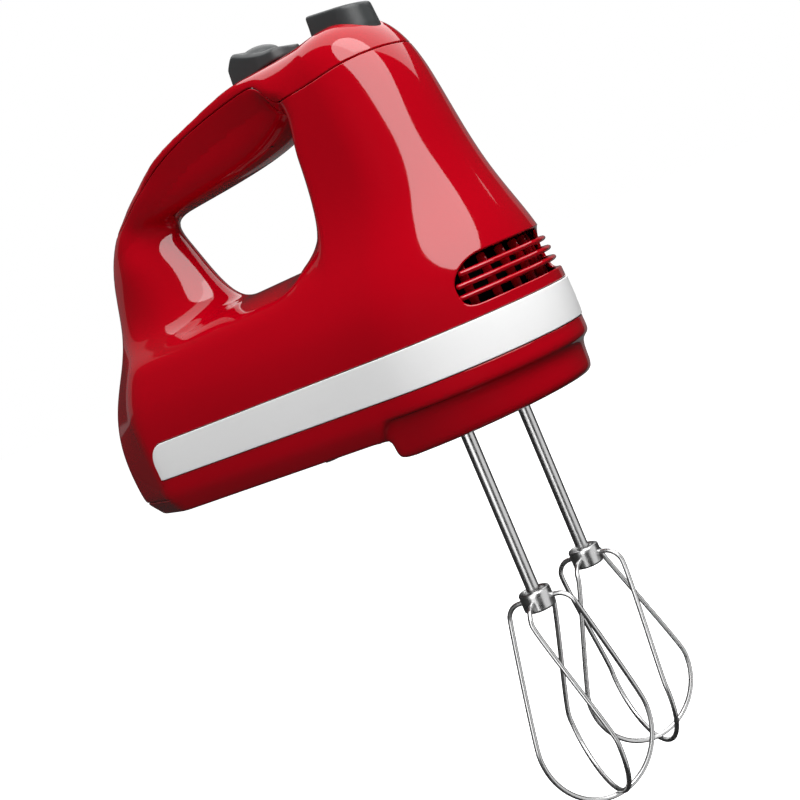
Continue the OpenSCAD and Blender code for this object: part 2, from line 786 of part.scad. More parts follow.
top_cover();
upper_housing();
lower_housing();
trim_band();
vent_grille();
gear_case();
gear_case_cover();
spindle_bushings();
shaft_bearings();
stator_core();
field_coils();
rear_motor_bracket();
motor_cradle();
brush_holders();
carbon_brushes();
brush_springs();
speed_switch();
terminal_block();
suppressor_capacitor();
ejector_guide();
ejector_spring();
housing_screws();
gear_case_screws();
stator_screws();
armature_shaft();
armature_core();
armature_windings();
commutator();
cooling_fan();
spindle(1);  // left_spindle
worm_wheel(1);  // left_worm_wheel
spindle(-1);  // right_spindle
worm_wheel(-1);  // right_worm_wheel
ejector_pin(1);  // left_ejector_pin
ejector_pin(-1);  // right_ejector_pin
beater_shaft(1);  // left_beater_shaft
beater_hub(1);  // left_beater_hub
beater_wire(1, false);  // left_beater_wire_a
beater_wire(1, true);  // left_beater_wire_b
beater_shaft(-1);  // right_beater_shaft
beater_hub(-1);  // right_beater_hub
beater_wire(-1, false);  // right_beater_wire_a
beater_wire(-1, true);  // right_beater_wire_b
eject_button();
ejector_yoke();
speed_slider();
slider_carriage();
cord_gland();
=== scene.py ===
import json
import math

import bpy
import numpy as np
from mathutils import Matrix, Vector

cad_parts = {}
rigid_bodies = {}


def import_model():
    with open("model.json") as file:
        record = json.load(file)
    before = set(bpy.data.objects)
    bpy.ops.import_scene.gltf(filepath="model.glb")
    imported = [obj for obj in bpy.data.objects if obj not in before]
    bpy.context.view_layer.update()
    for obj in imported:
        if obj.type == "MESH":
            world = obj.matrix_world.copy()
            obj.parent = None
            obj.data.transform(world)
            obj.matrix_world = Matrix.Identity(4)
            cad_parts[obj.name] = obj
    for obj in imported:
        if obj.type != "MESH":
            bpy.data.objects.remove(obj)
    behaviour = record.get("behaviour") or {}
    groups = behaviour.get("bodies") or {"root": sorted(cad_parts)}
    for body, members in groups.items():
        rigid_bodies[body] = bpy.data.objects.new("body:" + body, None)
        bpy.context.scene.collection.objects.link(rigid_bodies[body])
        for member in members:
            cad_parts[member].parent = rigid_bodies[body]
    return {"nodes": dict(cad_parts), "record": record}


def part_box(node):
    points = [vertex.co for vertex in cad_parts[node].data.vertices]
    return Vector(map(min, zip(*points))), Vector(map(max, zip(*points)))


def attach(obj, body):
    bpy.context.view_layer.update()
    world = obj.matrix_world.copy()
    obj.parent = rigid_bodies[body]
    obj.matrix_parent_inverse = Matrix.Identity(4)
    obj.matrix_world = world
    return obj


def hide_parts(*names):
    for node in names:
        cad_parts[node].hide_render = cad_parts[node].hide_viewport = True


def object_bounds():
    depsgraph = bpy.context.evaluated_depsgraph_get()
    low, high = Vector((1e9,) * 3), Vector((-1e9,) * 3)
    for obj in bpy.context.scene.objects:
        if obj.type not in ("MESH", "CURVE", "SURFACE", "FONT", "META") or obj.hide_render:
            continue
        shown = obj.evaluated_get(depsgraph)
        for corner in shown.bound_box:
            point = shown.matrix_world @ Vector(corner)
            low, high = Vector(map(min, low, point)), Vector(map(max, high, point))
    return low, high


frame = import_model()
cad_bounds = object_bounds()
NODES = frame["nodes"]
MM = 0.001


def node_box(*names):
    """Lowest and highest corner of some CAD nodes together, in millimetres."""
    corners = [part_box(name) for name in names]
    low = np.min([np.array(c[0]) for c in corners], axis=0) / MM
    high = np.max([np.array(c[1]) for c in corners], axis=0) / MM
    return low, high


# ---------------------------------------------------------------- places taken from the frame
shell_low, shell_high = node_box("upper_housing", "lower_housing", "trim_band")
band_box_low, band_box_high = node_box("trim_band")
BODY_LEN = shell_high[0]
HALF_W = band_box_high[1]
BAND_LOW = band_box_low[2]
BAND_HIGH = band_box_high[2]
BAND_REAR = band_box_low[0]
BOSS_LOW = node_box("lower_housing")[0][2]
UNDER_LOW = -20                   # flat underside, ahead of the heel and behind the gear boss
SIDES = ("left", "right")
SHAFTS = {side: node_box(side + "_beater_shaft") for side in SIDES}
BEATER_X = sum(node_box("left_beater_hub")[i][0] for i in (0, 1)) / 2
BEATER_Y = sum(node_box("left_beater_hub")[i][1] for i in (0, 1)) / 2


# ---------------------------------------------------------------- fields and curves
def smooth_min(a, b, k):
    """The lesser of two fields, blended where they are close, with no jump in curvature to show in gloss."""
    nearness = np.clip(1 - np.abs(a - b) / (1.5 * k), 0, 1)
    return np.minimum(a, b) - 0.25 * k * nearness ** 3


def smooth_max(a, b, k):
    return -smooth_min(-a, -b, k)


def smooth_step(low, high, t):
    s = np.clip((t - low) / (high - low), 0, 1)
    return s * s * (3 - 2 * s)


def curve_through(*points, ease=1.5):
    """A smooth function of one number close to (place, value) points, flat beyond its ends.

    A natural cubic spline, eased so that small unevenness in the values leaves no ripple in reflections.
    """
    x, y = np.array(points, float).T
    step = np.diff(x)
    count = len(x) - 2
    second = np.zeros((len(x), count))
    bend = np.zeros((count, count))
    for i in range(count):
        second[i:i + 3, i] = 1 / step[i], -1 / step[i] - 1 / step[i + 1], 1 / step[i + 1]
        bend[i, i] = (step[i] + step[i + 1]) / 3
        if i:
            bend[i, i - 1] = bend[i - 1, i] = step[i] / 6
    curvature = np.linalg.solve(bend + ease * second.T @ second * step.mean() ** 2, second.T @ y)
    y = y - ease * step.mean() ** 2 * second @ curvature
    curvature = np.concatenate([[0], curvature, [0]])

    def value(t):
        t = np.clip(t, x[0], x[-1])
        i = np.clip(np.searchsorted(x, t) - 1, 0, len(step) - 1)
        b = (t - x[i]) / step[i]
        a = 1 - b
        sag = (a ** 3 - a) * curvature[i] + (b ** 3 - b) * curvature[i + 1]
        return a * y[i] + b * y[i + 1] + step[i] ** 2 / 6 * sag

    return value


def steepness(curve, t, step=0.5):
    """Length of the normal to a curve's graph, which turns a height into a distance."""
    return np.hypot(1, (curve(t + step) - curve(t - step)) / (2 * step))


# ---------------------------------------------------------------- outline of the housing
# Level sections, by height: half width, nose, start of the rounded nose, heel, heel's half width
BODY_HALF = HALF_W - 0.8          # the band stands a little proud of the body
NOSE_X = 159                      # where the rounded nose starts, low on the body
half_width = curve_through(
    (-20, 42.4), (-13, 43), (-7, BODY_HALF), (10, BODY_HALF), (18, 42.9), (25, 42.2), (36, 38.6), (44, 34.6),
    (54, 30.8), (66, 28.2), (80, 26.6), (92, 25.6), (106, 24.2), (114, 23), (130, 20))
nose = curve_through(
    (-20, 206), (-13, 207.2), (-7, 208), (0, 208.2), (12, 207.8), (27, 206.2), (36, 204.2), (44, 201.8),
    (54, 198.8), (66, 196), (77, 194.2), (92, 192), (100, 190.9), (106, 189.8), (114, 187.4), (130, 180))
nose_start = curve_through(
    (-20, NOSE_X), (20, NOSE_X), (36, 161), (54, 166), (66, 168), (92, 165), (106, 163), (130, 158))
heel = curve_through(
    (-20, 1.2), (-13, 0.6), (-8, 0.3), (8, 0.3), (17, 1.7), (25, 3.6), (36, 7.6), (43, 10.6), (53, 12.8),
    (61, 13.8), (71, 16), (85, 20.8), (98, 28), (110, 36))
heel_half = curve_through(
    (-20, 27), (-13, 27.8), (-8, 28), (10, 28), (25, 26), (36, 22), (43, 18.5), (50, 15), (58, 12.8),
    (70, 11), (82, 10), (98, 9))
facet_slope = curve_through(
    (-20, 0.5), (10, 0.47), (25, 0.56), (36, 0.66), (43, 0.7), (50, 0.62), (58, 0.52), (70, 0.45), (82, 0.42),
    (98, 0.4))
# Side view, by length: top of the handle and the neck, underside of the handle, cover line
top_line = curve_through(
    (0, 66), (12, 80), (22, 89.6), (30, 95.9), (37, 99.9), (46, 103.6), (62, 108.9), (84, 114.8), (98, 117.3),
    (111, 119.6), (125, 121.1), (145, 121.3), (160, 122.2), (170, 123.2), (178, 122.6), (185, 119.6),
    (191, 113.5), (198, 104), ease=0.3)
grip_line = curve_through(
    (40, 89.5), (60, 90.4), (80, 90.8), (100, 91.5), (115, 92.9), (128, 95.8), (136, 99.2), (146, 104.5),
    ease=0.3)
cover_line = curve_through(
    (-5, 92.5), (27, 92.9), (46, 98.9), (62, 104.9), (78, 109.7), (95, 113.3), (118, 115.7), (131, 116.1),
    (137, 115), (140.4, 112), (143.2, 107.4), (146, 106), (150, 105.8), (165, 106.1), (176, 107.2),
    (188, 107.7), (214, 107.7), ease=0.002)
# The handle's half width by length, the neck's rear edge by height, the scoop's blend radius by length
grip_half = curve_through(
    (20, 15.5), (46, 17.2), (95, 17.9), (118, 18.9), (132, 21), (139, 23), (143, 25.5), (148, 34), (156, 60),
    ease=0.05)
neck_rear = curve_through((40, 141), (60, 141.6), (70, 142.6), (76, 143.4), (84, 144.3), (98, 144.8))
scoop_blend = curve_through((20, 22), (50, 20), (72, 11), (95, 14), (130, 31))


def outer_form(x, y, z):
    """The housing without its hand opening, as a field that is negative inside."""
    half = half_width(z)
    forward = np.maximum(x - nose_start(z), 0) / (nose(z) - nose_start(z))
    side = (np.sqrt(forward ** 2 + (y / half) ** 2) - 1) * half
    slope = facet_slope(z)
    facet = (y - heel_half(z) - slope * (x - heel(z))) / np.hypot(1, slope)
    facet_round = 2 + 3 * smooth_step(8, 38, z)
    plan = smooth_max(smooth_max(side, facet, facet_round), heel(z) - x, 3)
    chamfer_z, chamfer_slope = -12.4, 0.55
    under_edge = (plan + chamfer_slope * (chamfer_z - z)) / 1.14
    plan = smooth_max(plan, under_edge, 1.5)
    top = (z - top_line(x)) / steepness(top_line, x)
    step_at_boss = 7.2 * smooth_step(140, 152, x)
    floor = UNDER_LOW + 0.01 * x + step_at_boss - z
    crown_round = 8 + 6 * smooth_step(120, 160, x)
    return smooth_max(smooth_max(plan, top, crown_round), floor, 1.2)


def grip_ring(x, y, z):
    """The pillar, the handle and the neck round the hand opening, before the outer form trims them."""
    flare = 1.1 * (np.sqrt(np.minimum(y, 24) ** 2 + 6 ** 2) - 6)
    pillar_x, pillar_z, pillar_lean = 54, 87, 0.382
    rear_edge = (x - pillar_x + pillar_lean * (z - pillar_z) + flare) * 0.934
    opening = smooth_min(smooth_min(rear_edge, grip_line(x) - z, 9), neck_rear(z) - x, 8)
    flank = y - grip_half(x)
    under_cover = np.clip(cover_line(x) - z, -4, 9) * smooth_step(74, 92, z)
    lean = 0.34 * under_cover - 40 * smooth_step(141, 148, x)
    return smooth_max(smooth_max(flank, flank + lean, 0.8), opening, 13)


def gear_boss(x, y, z):
    """The low boss that the beaters go into, round at the front and square at the rear."""
    half = 38.6 - 0.18 * np.maximum(-16 - z, 0)
    forward = np.maximum(x - NOSE_X, 0) / 46
    wall = (np.sqrt(forward ** 2 + (y / half) ** 2) - 1) * half
    rear = 139.8 + 0.09 * (z - BOSS_LOW) + 3 * smooth_step(22, 38, y) - x
    bottom = BOSS_LOW + 0.3 + 0.055 * np.maximum(x - 150, 0) - z
    inside_body = z + 11
    return smooth_max(smooth_max(smooth_max(wall, rear, 5), bottom, 3.5), inside_body, 1)


def housing(x, y, z):
    """The whole outside of the body, as a field that is negative inside."""
    y = np.abs(y)
    scoop_z, scoop_fall, scoop_half = 49.2, 8.6, 37
    scoop_floor = z - scoop_z + scoop_fall * (y / scoop_half) ** 2
    inner = smooth_min(grip_ring(x, y, z), scoop_floor, scoop_blend(x))
    crease = 3.5 + 5 * smooth_step(84, 100, z) - 6 * smooth_step(104, 113, z)
    body = smooth_max(outer_form(x, y, z), inner, crease)
    return smooth_min(body, gear_boss(x, y, z), 5)


# ---------------------------------------------------------------- meshing a field
def field_slope(field, points, step=0.05):
    """The field's slope along x, y and z at each point."""
    columns = []
    for axis in range(3):
        ahead, behind = points.copy(), points.copy()
        ahead[:, axis] += step
        behind[:, axis] -= step
        columns.append((field(*ahead.T) - field(*behind.T)) / (2 * step))
    return np.stack(columns, 1)


def onto_surface(field, points, rounds=3):
    """Moves the points along the field's slope to where it is zero."""
    for _ in range(rounds):
        slope = field_slope(field, points)
        size = np.maximum((slope ** 2).sum(1), 1e-3)
        move = slope * (field(*points.T) / size)[:, None]
        length = np.linalg.norm(move, axis=1, keepdims=True)
        points = points - move * np.minimum(1, 1.5 / np.maximum(length, 1e-9))
    return points


def surface_net(field, low, high, pitch):
    """Triangles of the surface where the field is zero, found cell by cell."""
    axes = [np.arange(a, b + pitch, pitch) for a, b in zip(low, high)]
    value = field(*np.meshgrid(*axes, indexing="ij"))
    shape = np.array(value.shape) - 1
    inside = value < 0
    corners = [(i, j, k) for i in (0, 1) for j in (0, 1) for k in (0, 1)]

    def corner(grid, c):
        return grid[c[0]:c[0] + shape[0], c[1]:c[1] + shape[1], c[2]:c[2] + shape[2]]

    filled = sum(corner(inside, c).astype(np.int8) for c in corners)
    active = (filled > 0) & (filled < 8)
    cell = np.argwhere(active)
    total = np.zeros((len(cell), 3))
    count = np.zeros(len(cell))
    for a in corners:
        for axis in range(3):
            if a[axis]:
                continue
            b = tuple(v + (i == axis) for i, v in enumerate(a))
            va, vb = corner(value, a)[active], corner(value, b)[active]
            crossing = (va < 0) != (vb < 0)
            t = np.where(crossing, va / np.where(crossing, va - vb, 1), 0)
            spot = np.array(a, float) + t[:, None] * (np.arange(3) == axis)
            total += np.where(crossing[:, None], spot, 0)
            count += crossing
    points = np.array(low) + pitch * (cell + total / count[:, None])
    index = np.full(active.shape, -1)
    index[active] = np.arange(len(cell))
    quads = []
    for axis in range(3):
        one = np.moveaxis(inside, axis, 0)
        grid = np.moveaxis(index, axis, 0)
        first, second = one[:-1, 1:-1, 1:-1], one[1:, 1:-1, 1:-1]
        a, b = grid[:, :-1, :-1], grid[:, 1:, :-1]
        c, d = grid[:, 1:, 1:], grid[:, :-1, 1:]
        for change, order in ((first & ~second, (a, b, c, d)), (~first & second, (d, c, b, a))):
            if axis == 1:
                order = order[::-1]
            quads.append(np.stack([g[change] for g in order], 1))
    quads = np.concatenate(quads)
    points = onto_surface(field, points)
    for _ in range(3):
        points = onto_surface(field, relaxed(points, quads), 2)
    return points, halved(points, quads)


def relaxed(points, quads):
    """Each point halfway to the middle of its neighbours."""
    total = np.zeros_like(points)
    count = np.zeros(len(points))
    for i in range(4):
        a, b = quads[:, i], quads[:, (i + 1) % 4]
        for p, q in ((a, b), (b, a)):
            for axis in range(3):
                total[:, axis] += np.bincount(p, points[q, axis], len(points))
            count += np.bincount(p, minlength=len(points))
    return 0.5 * points + 0.5 * total / count[:, None]


def halved(points, quads):
    """Each quad as two triangles, along its shorter diagonal."""
    a, b, c, d = quads.T
    across_ac = np.linalg.norm(points[a] - points[c], axis=1)
    across_bd = np.linalg.norm(points[b] - points[d], axis=1)
    first = (across_ac <= across_bd)[:, None]
    one = np.where(first, np.stack([a, b, c], 1), np.stack([a, b, d], 1))
    two = np.where(first, np.stack([a, c, d], 1), np.stack([b, c, d], 1))
    return np.concatenate([one, two])


def split_triangles(points, triangles, wanted):
    """Adds a point on each edge that wanted() gives a place for, and cuts the triangles there."""
    pairs = np.sort(triangles[:, [0, 1, 1, 2, 2, 0]].reshape(-1, 2), axis=1)
    edges, back = np.unique(pairs, axis=0, return_inverse=True)
    place = wanted(points, edges)
    chosen = ~np.isnan(place)
    a, b = edges[chosen].T
    t = place[chosen][:, None]
    number = np.full(len(edges), -1)
    number[chosen] = len(points) + np.arange(chosen.sum())
    points = np.concatenate([points, points[a] * (1 - t) + points[b] * t])
    middle = number[back.reshape(-1)].reshape(-1, 3)
    made = []
    marked = (middle >= 0).sum(1)
    made.append(triangles[marked == 0])
    full = marked == 3
    v, m = triangles[full], middle[full]
    for i in range(3):
        made.append(np.stack([v[:, i], m[:, i], m[:, i - 1]], 1))
    made.append(m)
    for i in range(3):
        v0, v1, v2 = (np.roll(triangles, -i, 1)).T
        m0, m1, m2 = (np.roll(middle, -i, 1)).T
        one = (marked == 1) & (m0 >= 0)
        made.append(np.stack([v0, m0, v2], 1)[one])
        made.append(np.stack([m0, v1, v2], 1)[one])
        two = (marked == 2) & (m0 >= 0) & (m1 >= 0)
        made.append(np.stack([m0, v1, m1], 1)[two])
        made.append(np.stack([v0, m0, m1], 1)[two])
        made.append(np.stack([v0, m1, v2], 1)[two])
    return points, np.concatenate(made)


def refined(points, triangles, near, size):
    """Halves the edges longer than size wherever near(points) is true."""
    for _ in range(3):
        def wanted(p, edges):
            a, b = p[edges[:, 0]], p[edges[:, 1]]
            long = np.linalg.norm(a - b, axis=1) > size
            return np.where(long & near((a + b) / 2), 0.5, np.nan)
        points, triangles = split_triangles(points, triangles, wanted)
    return points, triangles


def cut_along(points, triangles, field, level):
    """Adds edges where the field has this level."""
    value = field(*points.T) - level
    value = np.where(np.abs(value) < 0.02, 0, value)

    def wanted(_, edges):
        a, b = value[edges[:, 0]], value[edges[:, 1]]
        return np.where(a * b < 0, a / np.where(a == b, 1, a - b), np.nan)

    return split_triangles(points, triangles, wanted)


def compacted(points, triangles):
    """The same triangles with only the points that they use."""
    used, back = np.unique(triangles, return_inverse=True)
    return points[used], back.reshape(-1, 3)


def panel(surface, field, region, wall=2.0, round_r=0.5):
    """One moulded panel: the part of a surface where region is negative, with rounded edges and a wall."""
    points, triangles = surface
    keep = (region(*points.T)[triangles] < 3).any(1)
    points, triangles = compacted(points, triangles[keep])
    points, triangles = cut_along(points, triangles, region, 0)
    centre = points[triangles].mean(1)
    points, triangles = compacted(points, triangles[region(*centre.T) < 0])
    for share in (0.1, 0.35, 1, 1.8):
        points, triangles = cut_along(points, triangles, region, -share * round_r)
    points = onto_surface(field, points, 1)
    slope = field_slope(field, points)
    normal = slope / np.linalg.norm(slope, axis=1, keepdims=True)
    inward = np.clip(-region(*points.T), 0, round_r)
    arc = round_r ** 2 - (round_r - inward) ** 2
    depth = round_r - np.sqrt(np.maximum(arc, 0))
    lean = (round_r - inward) / np.sqrt(np.maximum(arc, 0.04 * round_r ** 2))
    aside = field_slope(region, points)
    aside -= normal * (aside * normal).sum(1, keepdims=True)
    shown_normal = normal + aside * lean[:, None]
    shown_normal /= np.linalg.norm(shown_normal, axis=1, keepdims=True)
    outer = points - normal * depth[:, None]
    inner = points - normal * wall
    return closed_shell(outer, inner, triangles, shown_normal)


def closed_shell(outer, inner, triangles, shown_normal):
    """A solid between an outer and an inner skin, joined round their rims."""
    n = len(outer)
    pairs = triangles[:, [0, 1, 1, 2, 2, 0]].reshape(-1, 2)
    key = np.sort(pairs, axis=1)
    _, where, times = np.unique(key, axis=0, return_index=True, return_counts=True)
    a, b = pairs[where[times == 1]].T
    faces = np.concatenate([triangles, triangles[:, ::-1] + n, np.stack([b, a, a + n], 1),
                            np.stack([b, a + n, b + n], 1)])
    normals = np.concatenate([shown_normal, np.zeros_like(inner)])
    return np.concatenate([outer, inner]), faces, normals


def mesh_object(name, points, faces, normals=None):
    """A smooth-shaded object from points in millimetres."""
    mesh = bpy.data.meshes.new(name)
    mesh.vertices.add(len(points))
    mesh.vertices.foreach_set("co", (np.asarray(points) * MM).astype(np.float32).ravel())
    if isinstance(faces, np.ndarray):
        sizes = np.full(len(faces), faces.shape[1])
        flat = faces.ravel()
    else:
        sizes = np.array([len(f) for f in faces])
        flat = np.concatenate([np.asarray(f) for f in faces])
    mesh.loops.add(len(flat))
    mesh.loops.foreach_set("vertex_index", flat.astype(np.int32))
    mesh.polygons.add(len(sizes))
    mesh.polygons.foreach_set("loop_start", (np.cumsum(sizes) - sizes).astype(np.int32))
    mesh.update(calc_edges=True)
    mesh.validate()
    mesh.shade_smooth()
    if normals is not None and len(mesh.vertices) == len(normals):
        mesh.normals_split_custom_set_from_vertices(np.asarray(normals, np.float32))
    piece = bpy.data.objects.new(name, mesh)
    bpy.context.scene.collection.objects.link(piece)
    return piece


def settle(piece, body, slot, material, *stands_for):
    """Gives a finished piece its body and its material, and hides the CAD nodes it stands for. The slot is
    not used.
    """
    piece.data.materials.clear()
    piece.data.materials.append(material)
    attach(piece, body)
    if stands_for:
        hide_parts(*stands_for)
    return piece


# ---------------------------------------------------------------- materials
def graph(name):
    """A new material, its node tree and its shader."""
    material = bpy.data.materials.new(name)
    material.use_nodes = True
    tree = material.node_tree
    shader = next(n for n in tree.nodes if n.type == "BSDF_PRINCIPLED")
    return material, tree, shader


def noise_of(tree, scale, detail=4.0, stretch=(1, 1, 1)):
    place = tree.nodes.new("ShaderNodeTexCoord")
    mapping = tree.nodes.new("ShaderNodeMapping")
    mapping.inputs["Scale"].default_value = stretch
    noise = tree.nodes.new("ShaderNodeTexNoise")
    noise.inputs["Scale"].default_value = scale
    noise.inputs["Detail"].default_value = detail
    tree.links.new(place.outputs["Object"], mapping.inputs["Vector"])
    tree.links.new(mapping.outputs["Vector"], noise.inputs["Vector"])
    return noise.outputs["Fac"]


def ranged(tree, value, low, high):
    node = tree.nodes.new("ShaderNodeMapRange")
    node.inputs["From Min"].default_value = 0.3
    node.inputs["From Max"].default_value = 0.7
    node.inputs["To Min"].default_value = low
    node.inputs["To Max"].default_value = high
    tree.links.new(value, node.inputs["Value"])
    return node.outputs["Result"]


def blended(tree, value, dark, light):
    node = tree.nodes.new("ShaderNodeValToRGB")
    node.color_ramp.elements[0].position = 0.3
    node.color_ramp.elements[0].color = (*dark, 1)
    node.color_ramp.elements[1].position = 0.7
    node.color_ramp.elements[1].color = (*light, 1)
    tree.links.new(value, node.inputs["Fac"])
    return node.outputs["Color"]


def finish_material(name, dark, light, roughness, metallic=0.0, grain=300.0, bump=0.02, depth=0.0001,
                    patch=25.0, stretch=(1, 1, 1), **fixed):
    """A surface whose colour drifts in soft patches and whose roughness and relief follow a fine grain."""
    material, tree, shader = graph(name)
    tree.links.new(blended(tree, noise_of(tree, patch, 3.0), dark, light), shader.inputs["Base Color"])
    fine = noise_of(tree, grain, 5.0, stretch)
    tree.links.new(ranged(tree, fine, *roughness), shader.inputs["Roughness"])
    relief = tree.nodes.new("ShaderNodeBump")
    relief.inputs["Strength"].default_value = bump
    relief.inputs["Distance"].default_value = depth
    tree.links.new(fine, relief.inputs["Height"])
    tree.links.new(relief.outputs["Normal"], shader.inputs["Normal"])
    shader.inputs["Metallic"].default_value = metallic
    for socket, value in fixed.items():
        shader.inputs[socket.replace("_", " ")].default_value = value
    return material


# Slot, name, dark and light colour, roughness range, then what differs from the defaults
FINISHES = [
    ("red_plastic", "red_gloss", (0.4, 0.0, 0.006), (0.43, 0.0, 0.0068), (0.045, 0.075),
     dict(grain=900, bump=0.012, patch=12, IOR=1.52, Coat_Weight=0.35, Coat_Roughness=0.03)),
    ("band_silver", "band_satin", (0.92, 0.92, 0.92), (0.95, 0.95, 0.95), (0.34, 0.42),
     dict(grain=1200, bump=0.02)),
    ("dark_plastic", "dark_moulding", (0.012, 0.012, 0.013), (0.02, 0.02, 0.022), (0.45, 0.6),
     dict(grain=1200, bump=0.15)),
    # Near black with almost no gloss: painted shade for the inside of the vent, where the real piece lies in
    # shadow
    ("vent_shadow", "vent_shadow", (0.001, 0.001, 0.001), (0.002, 0.002, 0.002), (0.85, 0.95),
     dict(grain=1200, bump=0.05, Specular_IOR_Level=0.05)),
    ("zinc", "cast_zinc", (0.42, 0.43, 0.44), (0.55, 0.56, 0.57), (0.38, 0.55),
     dict(metallic=0.9, grain=500, bump=0.25)),
    ("bronze", "sintered_bronze", (0.42, 0.25, 0.1), (0.56, 0.36, 0.16), (0.35, 0.5),
     dict(metallic=0.9, grain=1500, bump=0.2)),
    ("lamination", "laminated_steel", (0.24, 0.25, 0.27), (0.4, 0.41, 0.43), (0.35, 0.5),
     dict(metallic=0.85, grain=260, bump=0.3, stretch=(14, 0.5, 0.5))),
    ("copper", "enamelled_copper", (0.42, 0.14, 0.05), (0.62, 0.25, 0.1), (0.22, 0.34),
     dict(metallic=0.8, grain=350, bump=0.35, stretch=(0.4, 6, 6))),
    ("carbon", "pressed_carbon", (0.02, 0.02, 0.022), (0.05, 0.05, 0.055), (0.5, 0.7),
     dict(grain=1800, bump=0.2)),
    ("steel", "ground_steel", (0.48, 0.48, 0.5), (0.62, 0.62, 0.64), (0.2, 0.34),
     dict(metallic=1.0, grain=700, bump=0.06, stretch=(1, 1, 0.15))),
    ("stainless", "polished_stainless", (0.6, 0.6, 0.6), (0.68, 0.68, 0.68), (0.24, 0.32),
     dict(metallic=1.0, grain=400, bump=0.004)),
    ("white_plastic", "natural_acetal", (0.72, 0.7, 0.62), (0.82, 0.8, 0.74), (0.35, 0.5),
     dict(grain=900, bump=0.08)),
    ("capacitor_yellow", "capacitor_case", (0.6, 0.42, 0.05), (0.72, 0.52, 0.09), (0.3, 0.42),
     dict(grain=900, bump=0.08)),
    ("grey_button", "satin_grey", (0.036, 0.039, 0.04), (0.05, 0.053, 0.054), (0.3, 0.4),
     dict(grain=2200, bump=0.12, depth=0.00005)),
    ("black_rubber", "gland_rubber", (0.014, 0.014, 0.014), (0.026, 0.026, 0.026), (0.55, 0.7),
     dict(grain=1500, bump=0.2)),
]
M = {slot: finish_material(name, dark, light, roughness, **rest)
     for slot, name, dark, light, roughness, rest in FINISHES}
for part in frame["record"]["subparts"]:
    cad_mesh = NODES[part["node"]].data
    cad_mesh.materials.clear()
    cad_mesh.materials.append(M[part["material_slot"]])


# ---------------------------------------------------------------- housing panels
GAP = 0.24                        # width of the seams
FAR = 30                          # distance given where an opening isn't there at all
GLAND_Z, GLAND_HOLE_R = 62, 7.4


def split_height(x):
    """Height of the line between the upper and the lower shell."""
    behind_band = -13
    return np.interp(x, [BAND_REAR - 2, BAND_REAR], [behind_band, BAND_LOW])


def band_side(x, y, z):
    """Distance in side view from the zone of the trim band, negative in it."""
    corner_r = 8.5
    cx, cz = BAND_REAR + corner_r, BAND_HIGH - corner_r
    square_edges = np.maximum(np.maximum(BAND_LOW - z, z - BAND_HIGH), BAND_REAR - x)
    rounded = np.hypot(x - cx, z - cz) - corner_r
    return np.where((x < cx) & (z > cz), rounded, square_edges)


def over_cover(x, y, z):
    """Distance above the seam under the top cover."""
    return (z - cover_line(x)) / steepness(cover_line, x)


VENT_LOW, VENT_HIGH = 14.2, 30.2
VENT_START = 38.6                 # how far round the nose the vent reaches, along the wall
NOSE_LONG, NOSE_HALF, NOSE_R = 49, 43, 46      # half axes of the nose there, and their mean


def round_nose(x, y):
    """Length along the wall from the very front, at the height of the vent."""
    return np.arctan2(np.abs(y) / NOSE_HALF, (x - NOSE_X) / NOSE_LONG) * NOSE_R


def vent_zone(x, y, z):
    """Distance from the vent's recess, negative in it: long upper corners and small lower ones."""
    u = round_nose(x, y)
    high_r, reach = 9.5, 15.0
    box = np.maximum(smooth_max(u - VENT_START, VENT_LOW - z, 6), z - VENT_HIGH)
    du, dz = u - (VENT_START - reach), z - (VENT_HIGH - high_r)
    corner = np.where((du > 0) & (dz > 0), (np.hypot(du / reach, dz / high_r) - 1) * high_r, -high_r)
    return np.where(x < 150, 20, np.maximum(box, corner))


def eject_hole(x, y, z):
    """Distance from the opening for the eject button, negative in it."""
    low, high = node_box("eject_button")
    half = high[1] + 0.3
    front = high[0] - half + 0.3
    box = np.maximum(low[0] - 0.35 - x, np.abs(y) - half)
    round_end = np.hypot(x - front, y) - half
    return np.where(z > 100, np.where(x > front, round_end, box), FAR)


def slider_slot(x, y, z):
    """Distance from the slot that the slider's stem runs in, negative in it."""
    middle, half_length, half = 128, 12, 4
    along = np.abs(x - middle) - half_length
    return np.where(z > 100, np.hypot(np.maximum(along, 0), y) - half, FAR)


def cover_region(x, y, z):
    openings = np.minimum(eject_hole(x, y, z), slider_slot(x, y, z))
    return np.maximum(GAP / 2 - over_cover(x, y, z), -openings)


def upper_region(x, y, z):
    edge = np.maximum(over_cover(x, y, z), (split_height(x) - z) / np.where(x < BAND_REAR, 1.6, 1))
    edge = np.maximum(edge, -band_side(x, y, z))
    from_gland = np.where(x < 30, np.hypot(y, z - GLAND_Z), FAR)
    edge = np.maximum(edge, GLAND_HOLE_R - from_gland)
    return np.maximum(edge, -vent_zone(x, y, z)) + GAP / 2


SCREW_PLACES = [(24, 15), (110, 30), (196, 0)]      # along the body and out to each side
SCREW_WELL_R = 3.3


def lower_region(x, y, z):
    spindle_hole_r = 4.6
    holes = np.hypot(x - BEATER_X, np.abs(y) - BEATER_Y) - spindle_hole_r
    for place_x, place_y in SCREW_PLACES:
        holes = np.minimum(holes, np.hypot(x - place_x, np.abs(y) - place_y) - SCREW_WELL_R)
    holes = np.where(z < -15, holes, FAR)
    return np.maximum(z - split_height(x), GAP / 2 - holes) + GAP / 2


def band_region(x, y, z):
    return band_side(x, y, z) + GAP / 2


def near_detail(points):
    """Whether each point is close to an edge that needs finer triangles."""
    x, y, z = points.T
    nearest = np.minimum(np.abs(vent_zone(x, y, z)), np.abs(eject_hole(x, y, z)))
    nearest = np.minimum(nearest, np.abs(slider_slot(x, y, z)))
    nearest = np.minimum(nearest, np.abs(over_cover(x, y, z)))
    return nearest < 1.6


